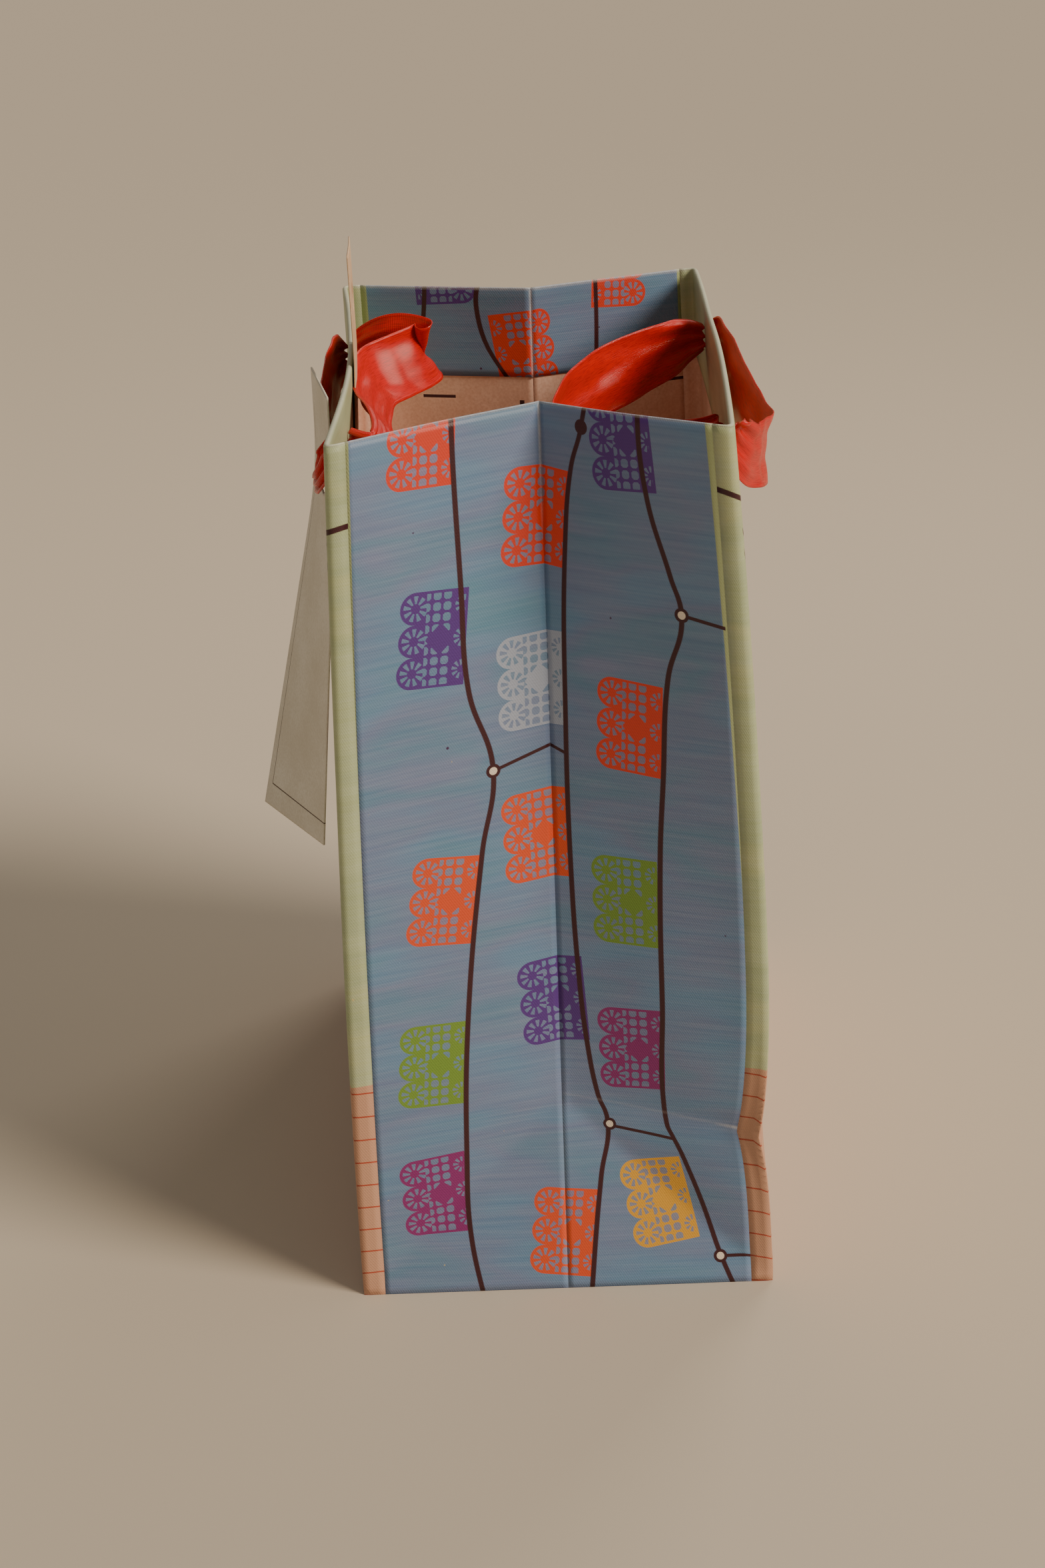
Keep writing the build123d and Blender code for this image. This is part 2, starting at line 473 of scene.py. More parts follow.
class PrintedPaper:
    """Coated art paper with an embossed canvas grain and a matt offset print.

    The coat gives a soft broad shine, and the grain breaks it into fine diagonal threads.
    """

    def __init__(self, art: Artwork) -> None:
        """Builds the material for one artwork."""
        self.art = art
        self.material, self.shader = new_material(art.name, Roughness=0.42, IOR=1.45)
        self.tree = self.material.node_tree
        self.spot = in_mm(self.tree)
        self.u, self.v = x_and_y(self.tree, self.spot)
        colour = self.ground()
        for layer in (self.strips, self.flags, self.cords, self.wear):
            colour = layer(colour)
        self.finish(colour)

    def mix(self, share: Value, under: Value, over: Value) -> Socket:
        """Lays one colour over another by a share."""
        return mix(self.tree, share, under, over)

    def calc(self, operation: str, *values: Value, clamp: bool = False) -> Socket:
        """Does one kind of sum on sockets or numbers."""
        return calc(self.tree, operation, *values, clamp=clamp)

    def gap(self, a: Value, b: Value) -> Socket:
        """How far apart two values are."""
        return self.calc("ABSOLUTE", self.calc("SUBTRACT", a, b))

    def within(self, value: Value, limit: float, soft: float = 0.08) -> Socket:
        """1 where value is under limit, and 0 where it is over, with an edge soft millimetres wide."""
        sockets = {"Value": value, "From Min": limit + soft, "From Max": limit - soft}
        return add(self.tree, "MapRange", sockets, clamp=True)

    def streaks(self, across: float, up: float, detail: float = 3.0) -> Socket:
        """Noise drawn out along the sheet: its grain's size in millimetres across and up."""
        scale = (1 / across, 1 / up, 1.0)
        grain = add(self.tree, "VectorMath", {0: self.spot, 1: scale}, operation="MULTIPLY")
        return add(self.tree, "TexNoise", {"Vector": grain, "Scale": 1.0, "Detail": detail}, "Fac")

    def ground(self) -> Socket:
        """The brushed ground colour, with pale streaks and small flecks."""
        last = len(self.art.grounds) - 1
        stops = [(0.3 + 0.4 * k / last, tint) for k, tint in enumerate(self.art.grounds)]
        colour = ramp_colour(self.tree, self.streaks(70, 24), stops)
        brushed = self.calc("MULTIPLY", self.streaks(30, 1.1, 5.0), 0.2)
        colour = self.mix(brushed, colour, linear("dfe4ee"))
        fleck = self.within(self.calc("SUBTRACT", 1.0, self.streaks(2.6, 3.4, 4.0)), 0.27, 0.015)
        where = self.within(self.calc("SUBTRACT", 1.0, self.streaks(17, 21, 0.0)), 0.36, 0.02)
        colour = self.mix(self.calc("MULTIPLY", fleck, where), colour, linear("cfc08a"))
        cells = add(self.tree, "TexVoronoi", {"Vector": self.spot, "Scale": 0.055}, "Distance")
        return self.mix(self.within(cells, 0.022, 0.004), colour, linear("4b2a52"))

    def strips(self, colour: Socket) -> Socket:
        """Ruled pink below, over a whole wall or a gusset's side strips, which are mint above."""
        row = self.calc("ADD", self.v, self.calc("MULTIPLY", self.u, LINE_FALL))
        off = self.calc("PINGPONG", self.calc("DIVIDE", row, LINE_PITCH), 0.5)
        ruled = self.mix(self.within(off, 0.03, 0.015), linear(PINK), linear(RED_LINE))
        low = self.within(self.v, PINK_TOP, 0.1)
        if not self.art.is_gusset:
            return self.mix(low, colour, ruled)
        side = 0.0
        for edge, sign in ((self.art.strip_left, -1), (self.art.strip_right, 1)):
            drift = self.calc("MULTIPLY", self.v, sign * (edge[1] - edge[0]) / 255.0)
            limit = self.calc("ADD", drift, sign * edge[0])
            past = self.calc("SUBTRACT", limit, self.calc("MULTIPLY", self.u, sign))
            side = self.calc("MAXIMUM", side, self.within(past, 0.0))
        mint = self.mix(self.streaks(4.0, 34.0), linear(MINT), linear(MINT_SHADE))
        return self.mix(side, colour, self.mix(low, mint, ruled))

    def flags(self, colour: Socket) -> Socket:
        """The paper flags. One cut pattern serves them all, in each flag's own coordinates."""
        spot = (0.0, 0.0, 0.0)
        paint = (0.0, 0.0, 0.0)
        mask = 0.0
        tree = self.tree
        for flag in self.art.flags:
            place = {
                "Vector": self.spot,
                "Location": (flag.across, flag.up, 0),
                "Rotation": (0, 0, math.radians(flag.turn)),
            }
            own = add(tree, "Mapping", place, vector_type="TEXTURE")
            size = add(tree, "VectorMath", {0: own}, operation="ABSOLUTE")
            past = add(tree, "VectorMath", {0: size, 1: (*FLAG_HALF, 0)}, operation="SUBTRACT")
            inside = self.calc("LESS_THAN", self.calc("MAXIMUM", *x_and_y(tree, past)), 0.0)
            spot = add(tree, "VectorMath", {0: own, 1: inside, 2: spot}, operation="MULTIPLY_ADD")
            inks = {0: linear(flag.colour)[:3], 1: inside, 2: paint}
            paint = add(tree, "VectorMath", inks, operation="MULTIPLY_ADD")
            mask = self.calc("ADD", mask, inside)
        return self.mix(self.calc("MULTIPLY", mask, self.cut_paper(spot)), colour, paint)

    def cut_paper(self, spot: Socket) -> Socket:
        """The flag's scalloped outline and its cut-outs, from its own coordinates."""
        x, y = x_and_y(self.tree, spot)
        lobe = add(self.tree, "Math", {0: y, 1: LOBE, 2: -LOBE}, operation="WRAP")
        centre = LOBE - FLAG_HALF[0]
        from_lobe = self.calc("SUBTRACT", x, centre)
        body = self.calc("GREATER_THAN", x, centre)
        shape = self.calc("MAXIMUM", body, self.within(self.reach(from_lobe, lobe), LOBE))
        rose = self.rosette(from_lobe, lobe, LOBE)
        half_rose = self.rosette(self.calc("SUBTRACT", FLAG_HALF[0] - 1.0, x), lobe, LOBE * 0.75)
        cut = self.calc("MAXIMUM", rose, half_rose, self.lattice(x, y))
        ends = self.within(self.calc("ABSOLUTE", y), FLAG_HALF[1] - 0.7)
        hem = self.within(x, FLAG_HALF[0] - 0.7)
        missing = self.calc("MULTIPLY", cut, ends, hem, 0.85)
        return self.calc("MULTIPLY", shape, self.calc("SUBTRACT", 1.0, missing))

    def reach(self, x: Socket, y: Socket) -> Socket:
        """How long the line to (x, y) is."""
        return self.calc("SQRT", self.calc("ADD", *(self.calc("MULTIPLY", part, part) for part in (x, y))))

    def rosette(self, x: Socket, y: Socket, size: float) -> Socket:
        """Petals cut round a point: 1 where paper is missing."""
        turn = self.calc("ARCTAN2", y, x)
        petal = self.calc("GREATER_THAN", self.calc("SINE", self.calc("MULTIPLY", turn, 9.0)), -0.1)
        ring = self.within(self.gap(self.reach(x, y), size * 0.55), size * 0.24)
        return self.calc("MULTIPLY", petal, ring)

    def lattice(self, x: Socket, y: Socket) -> Socket:
        """Squares and corners cut in rows round a whole diamond: 1 where paper is missing."""
        pitch = FLAG_HALF[1] * 2 / 9
        col = self.calc("PINGPONG", self.calc("ADD", x, 0.6), pitch / 2)
        row = self.calc("PINGPONG", self.calc("ADD", y, pitch / 2), pitch / 2)
        limits = (
            (col, 0.35),
            (row, 0.33),
            (self.calc("ADD", col, row), pitch * 0.42),
            (self.calc("ADD", self.gap(x, 2.2), self.calc("ABSOLUTE", y)), 4.3),
            (x, -2.1),
        )
        past = [self.calc("GREATER_THAN", value, limit) for value, limit in limits]
        return self.calc("MULTIPLY", *past, self.calc("LESS_THAN", x, 5.2))

    def cords(self, colour: Socket) -> Socket:
        """The printed cords, their short ties and their knots."""
        mask = 0.0
        for cord in self.art.cords:
            line = self.within(self.off_cord(cord), CORD_HALF, 0.12)
            along = self.v if cord.run is Run.UP else self.u
            near = self.within(self.calc("ABSOLUTE", along), cord.reach)
            mask = self.calc("MAXIMUM", mask, self.calc("MULTIPLY", line, near))
        for tie in self.art.ties:
            (u0, v0), (u1, v1) = tie.start, tie.end
            slope = (v1 - v0) / (u1 - u0)
            line = self.calc("ADD", self.calc("MULTIPLY", self.u, slope), v0 - slope * u0)
            near = self.within(self.gap(self.u, (u0 + u1) / 2), abs(u1 - u0) / 2)
            on = self.calc("MULTIPLY", self.within(self.gap(self.v, line), 0.5, 0.1), near)
            mask = self.calc("MAXIMUM", mask, on)
        heart = 0.0
        for knot in self.art.knots:
            centre = (knot.across, knot.up, 0)
            far = add(self.tree, "VectorMath", {0: self.spot, 1: centre}, "Value", operation="DISTANCE")
            mask = self.calc("MAXIMUM", mask, self.within(far, KNOT_R))
            if knot.has_heart:
                heart = self.calc("MAXIMUM", heart, self.within(far, HEART_R))
        colour = self.mix(mask, colour, linear(DARK_CORD))
        return self.mix(heart, colour, linear(KNOT_HEART))

    def off_cord(self, cord: Cord) -> Socket:
        """How far a spot is from a cord, in millimetres."""
        if cord.run is Run.UP:
            along, off, low, span, base, height = self.v, self.u, 0.0, TOP_OF_PRINT, -70.0, 140.0
        else:
            along, off, low, span = self.u, self.v, -WIDTH_OF_PRINT / 2, WIDTH_OF_PRINT
            base, height = 0.0, TOP_OF_PRINT
        share = self.calc("DIVIDE", self.calc("SUBTRACT", along, low), span)
        curve = self.tree.nodes.new("ShaderNodeFloatCurve")
        self.tree.links.new(share, curve.inputs["Value"])
        points = curve.mapping.curves[0].points
        for k, (run, side) in enumerate(cord.points):
            spot = ((run - low) / span, (side - base) / height)
            point = points[k] if k < 2 else points.new(*spot)
            point.location = spot
            point.handle_type = "AUTO"
        curve.mapping.update()
        place = self.calc("ADD", self.calc("MULTIPLY", curve.outputs[0], height), base)
        return self.gap(off, place)

    def wear(self, colour: Socket) -> Socket:
        """Ink worn off along the rim's fold and, on a gusset, along its creases."""
        rough = self.streaks(1.6, 3.0, 4.0)
        worn = self.calc("MULTIPLY", self.within(self.gap(self.v, RIM_FOLD), 0.7, 0.5), 0.5)
        if self.art.is_gusset:
            high = self.within(self.calc("SUBTRACT", 250.0, self.v), 18.0, 14.0)
            middle = self.within(self.calc("ABSOLUTE", self.u), 0.35, 0.3)
            upright = self.calc("MULTIPLY", middle, self.calc("ADD", self.calc("MULTIPLY", high, 0.55), 0.03))
            fall = self.calc("ADD", self.v, self.calc("MULTIPLY", self.u, CROSS_FALL))
            cross = self.within(self.gap(fall, CROSS_TOP), 0.4, 0.35)
            on_right = self.calc("GREATER_THAN", self.u, 0.0)
            end = self.within(self.calc("SUBTRACT", 60.0, self.u), 8.0, 6.0)
            keen = self.calc("ADD", self.calc("MULTIPLY", end, 0.8), 0.09)
            worn = self.calc("MAXIMUM", worn, upright, self.calc("MULTIPLY", cross, on_right, keen))
        patchy = self.calc("MULTIPLY", worn, self.calc("ADD", rough, 0.35), clamp=True)
        return self.mix(patchy, colour, linear(WORN))

    def finish(self, colour: Socket) -> None:
        """Adds the canvas grain and links the colour, roughness and bump."""
        tree = self.tree
        # Threads of the emboss are 0.45 mm apart; drawn wider so that they show.
        thread = 2 * math.pi / THREAD_PITCH
        slant = self.calc("ADD", self.u, self.calc("MULTIPLY", self.v, 0.62))
        ribs = self.calc("MULTIPLY", self.calc("SINE", self.calc("MULTIPLY", slant, thread)), 0.35)
        weft = self.calc("MULTIPLY", self.calc("SINE", self.calc("MULTIPLY", self.v, thread * 0.8)), 0.15)
        grain = self.calc("ADD", ribs, weft, self.streaks(0.5, 0.5, 2.0))
        tint = self.calc("ADD", self.calc("MULTIPLY", grain, 0.1), 0.93)
        toned = add(tree, "VectorMath", {0: colour, "Scale": tint}, operation="SCALE")
        tree.links.new(toned, self.shader.inputs["Base Color"])
        gloss = self.calc("ADD", self.calc("MULTIPLY", self.streaks(22, 16), 0.16), 0.38)
        tree.links.new(gloss, self.shader.inputs["Roughness"])
        emboss(self.shader, grain, 0.06 * MM, 0.5)


@dataclass(frozen=True)
class Mark:
    """A dark bar: its middle and half sizes on the sheet, in millimetres."""

    across: float
    up: float
    half_across: float
    half_up: float


@dataclass(frozen=True)
class PlainBoard:
    """Uncoated paper or card: matt, with soft fibres, a little mottle and perhaps a few bars."""

    name: str
    colour: str
    shade: str
    roughness: float = 0.8
    fibre_mm: float = 0.8
    marks: tuple[Mark, ...] = ()
    bar_colour: str = DARK_CORD

    def build(self) -> bpy.types.Material:
        """Makes the material."""
        material, shader = new_material(self.name, Roughness=self.roughness, IOR=1.5)
        tree = material.node_tree
        place = add(tree, "TexCoord", None, "Object")
        fine = {"Vector": place, "Scale": 1000 / self.fibre_mm, "Detail": 4.0}
        fibres = add(tree, "TexNoise", fine, "Fac")
        mottle = add(tree, "TexNoise", {"Vector": place, "Scale": 60.0, "Detail": 3.0}, "Fac")
        stops = ((0.12, self.shade), (0.38, self.colour))
        colour = ramp_colour(tree, calc(tree, "MULTIPLY", fibres, mottle), stops)
        if self.marks:
            colour = mix(tree, self.printed(tree), colour, linear(self.bar_colour))
        tree.links.new(colour, shader.inputs["Base Color"])
        emboss(shader, fibres, 0.05 * MM, 0.4)
        return material

    def printed(self, tree: bpy.types.NodeTree) -> Socket:
        """1 where a dark bar lies, and 0 elsewhere."""
        spot = in_mm(tree)
        mask = 0.0
        for mark in self.marks:
            off = add(tree, "VectorMath", {0: spot, 1: (mark.across, mark.up, 0)}, operation="SUBTRACT")
            off = add(tree, "VectorMath", {0: off}, operation="ABSOLUTE")
            half = (mark.half_across, mark.half_up, 1)
            off = add(tree, "VectorMath", {0: off, 1: half}, operation="DIVIDE")
            inside = calc(tree, "LESS_THAN", calc(tree, "MAXIMUM", *x_and_y(tree, off)), 1.0)
            mask = calc(tree, "MAXIMUM", mask, inside)
        return mask


@dataclass(frozen=True)
class SatinRibbon:
    """Woven polyester satin: long floats shine along the ribbon, painted sheen and shade streak its colour
    light and dark along it, and the selvedge is a tight ridge.
    """

    name: str = "red_satin_ribbon"
    # colour is a lit red and shade a shaded red: mixed in streaks along the ribbon, they are painted sheen and
    # shade.
    colour: str = "d8160f"
    shade: str = "a50b07"
    width_mm: float = 19.0

    def build(self) -> bpy.types.Material:
        """Makes the material."""
        material, shader = new_material(
            self.name,
            Roughness=0.25,
            IOR=1.55,
            Anisotropic=0.6,
            Sheen_Weight=0.35,
            Sheen_Roughness=0.35,
            Sheen_Tint=linear("ff7a50"),
        )
        tree = material.node_tree
        spot = in_mm(tree)
        across, along = x_and_y(tree, spot)
        half = self.width_mm / 2
        off = calc(tree, "ABSOLUTE", calc(tree, "SUBTRACT", across, half))
        edge = add(tree, "MapRange", {"Value": off, "From Min": half - 1.0, "From Max": half - 0.7}, clamp=True)
        # Weft picks are 0.25 mm apart; drawn wider so that they show.
        picks = calc(tree, "SINE", calc(tree, "MULTIPLY", along, 2 * math.pi / PICK_PITCH))
        # Noise drawn out along the ribbon: it paints sheen and shade into the colour as light and dark streaks,
        # and it also roughens the bump.
        grain = add(tree, "VectorMath", {0: spot, 1: (4.0, 0.25, 1.0)}, operation="MULTIPLY")
        float_bump_and_sheen = add(tree, "TexNoise", {"Vector": grain, "Scale": 1.0, "Detail": 4.0}, "Fac")
        colour = ramp_colour(tree, float_bump_and_sheen, ((0.25, self.shade), (0.55, self.colour)))
        tree.links.new(colour, shader.inputs["Base Color"])
        ridge = calc(tree, "MULTIPLY", edge, 0.6)
        weave = calc(tree, "MULTIPLY", picks, 0.3)
        emboss(shader, calc(tree, "ADD", ridge, weave, float_bump_and_sheen), 0.12 * MM, 0.6)
        threads = add(tree, "Tangent", direction_type="UV_MAP", uv_map=UV_NAME)
        tree.links.new(threads, shader.inputs["Tangent"])
        return material


# --- mesh helpers -------------------------------------------------------------------------------


def grid_sheet(name: str, cols: int, rows: int, place: Place, spot: Spot) -> bpy.types.Object:
    """Makes a sheet from a grid, each point moved to its place.

    Args:
        name: The object's name.
        cols: Faces across.
        rows: Faces up.
        place: The point for shares (across, up), each 0 to 1. Across then up turn left-handed when
            seen from the sheet's face, so the face looks towards place_u x place_v.
        spot: The printed spot in metres for the same shares.

    Returns:
        The new object.
    """
    bm = bmesh.new()
    bmesh.ops.create_grid(bm, x_segments=cols, y_segments=rows, size=0.5)
    shares = {vert.index: (vert.co.x + 0.5, vert.co.y + 0.5) for vert in bm.verts}
    layer = bm.loops.layers.uv.new(UV_NAME)
    for face in bm.faces:
        face.smooth = True
        for loop in face.loops:
            loop[layer].uv = spot(*shares[loop.vert.index])
    for vert in bm.verts:
        vert.co = place(*shares[vert.index])
    mesh = bpy.data.meshes.new(name)
    bm.to_mesh(mesh)
    bm.free()
    made = bpy.data.objects.new(name, mesh)
    bpy.context.scene.collection.objects.link(made)
    return made


def flip(sheet: bpy.types.Object) -> None:
    """Turns a sheet's faces round."""
    bm = bmesh.new()
    bm.from_mesh(sheet.data)
    bmesh.ops.reverse_faces(bm, faces=bm.faces)
    bm.to_mesh(sheet.data)
    bm.free()


def face_towards(sheet: bpy.types.Object, aim: Vector) -> None:
    """Turns a sheet's faces round if most of them look away from aim."""
    lean = sum((p.normal.dot(aim) * p.area for p in sheet.data.polygons), 0.0)
    if lean < 0:
        flip(sheet)


@dataclass(frozen=True)
class Ply:
    """What a sheet is made of: its face, its back, its thickness and its slot in the frame."""

    face: bpy.types.Material
    back: bpy.types.Material
    thickness: float
    slot: str


def make_ply(
    name: str, cells: tuple[int, int], place: Place, spot: Spot, aim: Vector, ply: Ply, nodes: Sequence[str]
) -> bpy.types.Object:
    """Makes a sheet with its thickness behind its face, and puts it in place of its CAD nodes.

    Args:
        name: The object's name.
        cells: Faces across and up.
        place: The point for shares (across, up), each 0 to 1.
        spot: The printed spot in metres for the same shares.
        aim: The way its face looks.
        ply: What it is made of.
        nodes: The CAD nodes that it stands for.

    Returns:
        The new object.
    """
    sheet = grid_sheet(name, *cells, place, spot)
    face_towards(sheet, aim)
    sheet.data.materials.append(ply.face)
    sheet.data.materials.append(ply.back)
    solid = sheet.modifiers.new("paper", "SOLIDIFY")
    solid.thickness = ply.thickness
    solid.offset = -1.0
    solid.material_offset = 1
    solid.material_offset_rim = 1
    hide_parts(*nodes)
    log.info("%s: %d faces", name, len(sheet.data.polygons))
    return sheet


def pierce(sheet: bpy.types.Object, centre: Vector, radius: float) -> None:
    """Cuts a round hole in a sheet that stands across x, by dropping its faces there."""
    bm = bmesh.new()
    bm.from_mesh(sheet.data)
    gone = [f for f in bm.faces if (f.calc_center_median() - centre).yz.length < radius]
    bmesh.ops.delete(bm, geom=gone, context="FACES")
    rim = [v for v in bm.verts if (v.co - centre).yz.length < radius + 1.2 * MM and v.is_boundary]
    for vert in rim:
        off = (vert.co - centre).yz.normalized() * radius
        vert.co.y, vert.co.z = centre.y + off.x, centre.z + off.y
    bm.to_mesh(sheet.data)
    bm.free()


def ease(share: float) -> float:
    """A smooth step from 0 to 1."""
    share = min(1.0, max(0.0, share))
    return share * share * (3 - 2 * share)


# --- the bag's form -----------------------------------------------------------------------------


@dataclass(frozen=True)
class BagForm:
    """The form of the open bag: the frame's sizes, and how the paper has settled.

    Attributes:
        half_gusset: Half the depth between the walls, at the base.
        half_panel: Half the walls' width.
        height: The rim's height.
        pulls: How far each wall leans in at the rim, by gusset.
        lean: How far the rim has swayed to the front.
        crease_reach: How far from the crease the sway sets in, as a share of half_gusset.
        pull_power: How the corners' lean grows with height: over 1 is more at the rim.
        tilt: How far the rim is out of level, in all, across the walls and along them.
        pinch: How deep the buckle is at the end of the cross crease.
    """

    half_gusset: float
    half_panel: float
    height: float
    pulls: dict[End, float]
    paper: float = 0.35 * MM
    card: float = 0.7 * MM
    wrap: float = 6.5 * MM
    knee_height: float = 57 * MM
    knee_depths: dict[End, float] = field(default_factory=lambda: {End.NEAR: 14 * MM, End.FAR: 8.5 * MM})
    bows: dict[Side, float] = field(default_factory=lambda: {Side.FRONT: 4.0 * MM, Side.BACK: -1.6 * MM})
    lean: float = -3.3 * MM
    crease_reach: float = 0.4
    pull_power: float = 1.7
    tilt: tuple[float, float, float] = (-0.2 * MM, 0.8 * MM, -1.5 * MM)
    pinch: float = 4.4 * MM
    pinch_height: float = 49 * MM
    turn_in: float = 29 * MM

    @classmethod
    def from_frame(cls) -> BagForm:
        """Reads the form's driving sizes from the CAD boxes."""
        low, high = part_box("front_panel")
        half_gusset = -low.x
        near = half_gusset + high.x - cls.paper
        far_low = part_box("far_gusset_front_half")[0].y
        depth = high.y - far_low - cls.paper
        far = half_gusset - math.sqrt(half_gusset**2 - depth**2)
        half_panel = (high.y - low.y) / 2
        return cls(half_gusset, half_panel, high.z, {End.NEAR: near, End.FAR: far})

    def settle(self, spot: Vector) -> Vector:
        """Moves a point of the even form to where the used bag has it."""
        share = spot.z / self.height
        level, across, along = self.tilt
        rise = level + across * spot.x / self.half_gusset + along * spot.y / self.half_panel
        off_crease = math.tanh(abs(spot.x) / (self.crease_reach * self.half_gusset))
        return Vector((spot.x + self.lean * share**2 * off_crease, spot.y, spot.z + rise * share))

    def corner(self, side: Side, end: End, z: float) -> Vector:
        """The corner between a wall and a gusset at height z, before settling."""
        out = self.half_gusset - self.pulls[end] * (z / self.height) ** self.pull_power
        return Vector((side.value * out, end.value * self.half_panel, z))

    def pinch_at(self, z: float) -> float:
        """How deep the buckle is at height z: creased across, and soft above."""
        off = (z - self.pinch_height) / MM
        sharp = math.exp(-abs(off) / 11.0)
        soft = math.exp(-((off / 30.0) ** 2)) if off > 0 else max(0.0, 1 + off / (self.pinch_height / MM))
        return self.pinch * (0.62 * sharp + 0.38 * soft) * ease(z / (12 * MM))

    def crease_depth(self, end: End, z: float) -> float:
        """How far a gusset's middle crease lies inside its corners at height z."""
        knee = self.knee_depths[end]
        if z <= self.knee_height:
            return knee * z / self.knee_height
        rim = math.sqrt(self.half_gusset**2 - (self.half_gusset - self.pulls[end]) ** 2)
        return knee + (rim - knee) * (z - self.knee_height) / (self.height - self.knee_height)

    def flat_gusset(self, side: Side, end: End, share: float, z: float) -> Vector:
        """A point on a gusset's outer face, before settling.

        Args:
            side: The wall that this half of the gusset joins.
            end: Which gusset.
            share: 0 at the wall and 1 at the middle crease.
            z: The height.

        Returns:
            The point.
        """
        corner = self.corner(side, end, z)
        depth = self.crease_depth(end, z) * share
        if z < self.knee_height:
            diagonal = max(z / self.knee_height, 1e-6)
            depth = self.crease_depth(end, z) * min(share, diagonal) / diagonal
        if side is Side.BACK and end is End.NEAR:
            fall = z + (CROSS_FALL * self.half_gusset) * (1 - share)
            dent = self.pinch_at(fall - (CROSS_TOP * MM - self.pinch_height))
            depth += dent * (1 - share) ** 0.7
            corner.x -= 0.9 * self.pinch_at(z)
        wave = noise.noise(Vector((share * 1.7, z * 14, side.value * 3 + end.value)))
        depth += 0.8 * MM * wave * math.sin(math.pi * share) * ease(z / (40 * MM))
        return Vector((corner.x * (1 - share), end.value * (self.half_panel - depth), z))

    def round_radius(self, z: float) -> float:
        """How round a corner is at height z: creased at the base, open at the rim."""
        return (0.9 + 3.9 * ease(z / self.height)) * MM

    def flat_wall(self, side: Side, u: float, z: float) -> Vector:
        """A point on a wall between its corners, bowed towards the rim, before settling."""
        share = u / (2 * self.half_panel) + 0.5
        spot = self.corner(side, End.NEAR, z).lerp(self.corner(side, End.FAR, z), share)
        bow = self.bows[side] * (z / self.height) ** 2 * math.sin(math.pi * share)
        wave = noise.noise(Vector((u * 16, z * 11, side.value * 5)))
        bow += 0.6 * MM * wave * math.sin(math.pi * share) * ease(z / (50 * MM))
        if side is Side.BACK:
            bow += 0.9 * self.pinch_at(z) * math.exp(-((u + self.half_panel) / (24 * MM)) ** 2)
        spot.x -= side.value * bow
        return spot

    def gusset(self, side: Side, end: End, share: float, z: float) -> Vector:
        """A point on a gusset's outer face."""
        return self.settle(self.flat_gusset(side, end, share, z))

    def wall(self, side: Side, u: float, z: float) -> Vector:
        """A point on a wall's outer face.

        Args:
            side: Which wall.
            u: The distance along the paper from the wall's middle. Past the corners it runs on
                over the gussets.
            z: The height.

        Returns:
            The point.
        """
        end = End.FAR if u > 0 else End.NEAR
        beyond = abs(u) - self.half_panel
        radius = self.round_radius(z)
        if beyond >= radius:
            return self.gusset(side, end, beyond / self.half_gusset, z)
        if beyond <= -radius:
            return self.settle(self.flat_wall(side, u, z))
        share = (beyond + radius) / (2 * radius)
        a = self.flat_wall(side, end.value * (self.half_panel - radius), z)
        b = self.flat_wall(side, end.value * self.half_panel, z)
        c = self.flat_gusset(side, end, radius / self.half_gusset, z)
        return self.settle(a * (1 - share) ** 2 + b * 2 * share * (1 - share) + c * share**2)

    def inward(self, outer: Callable[[float], Vector], u: float, step: float) -> Vector:
        """The unit normal in plan, towards the bag's inside, of the line outer(u)."""
        run = outer(u + step) - outer(u - step)
        normal = Vector((-run.y, run.x, 0)).normalized()
        middle = outer(u)
        return normal if normal.dot(Vector((middle.x, middle.y * 0.5, 0))) < 0 else -normal


# Dark bars drawn across the inside of the far gusset, below its turn-in.
FAR_MARKS = (Mark(29.5, 219, 5.3, 0.5), Mark(-50, 219.5, 4.2, 0.5), Mark(3.5, 217.5, 0.7, 0.7))
# The tag's printed frame lines.
TAG_MARKS = (Mark(22.4, 130.5, 19.0, 0.22), Mark(3.4, 70, 0.15, 60.5))


@dataclass
class Papers:
    """The bag's finishes."""

    gusset: bpy.types.Material
    wall: bpy.types.Material
    plain: bpy.types.Material
    marked: bpy.types.Material
    board: bpy.types.Material
    tag: bpy.types.Material
    peg: bpy.types.Material
    satin: bpy.types.Material

    @classmethod
    def build(cls) -> Papers:
        """Makes every finish."""
        return cls(
            gusset=PrintedPaper(GUSSET_PRINT).material,
            wall=PrintedPaper(WALL_PRINT).material,
            plain=PlainBoard("uncoated_paper_back", "f0cbb6", "dcae95").build(),
            marked=PlainBoard("uncoated_paper_marked", "f0cbb6", "dcae95", marks=FAR_MARKS).build(),
            board=PlainBoard("grey_board", "a89a88", "85796a", 0.9).build(),
            tag=PlainBoard("tag_card", "efeadd", "ddd6c4", 0.6, marks=TAG_MARKS, bar_colour="6b5a4c").build(),
            peg=PlainBoard("peg_card", "e6c9a8", "d3ae88", 0.6).build(),
            satin=SatinRibbon().build(),
        )


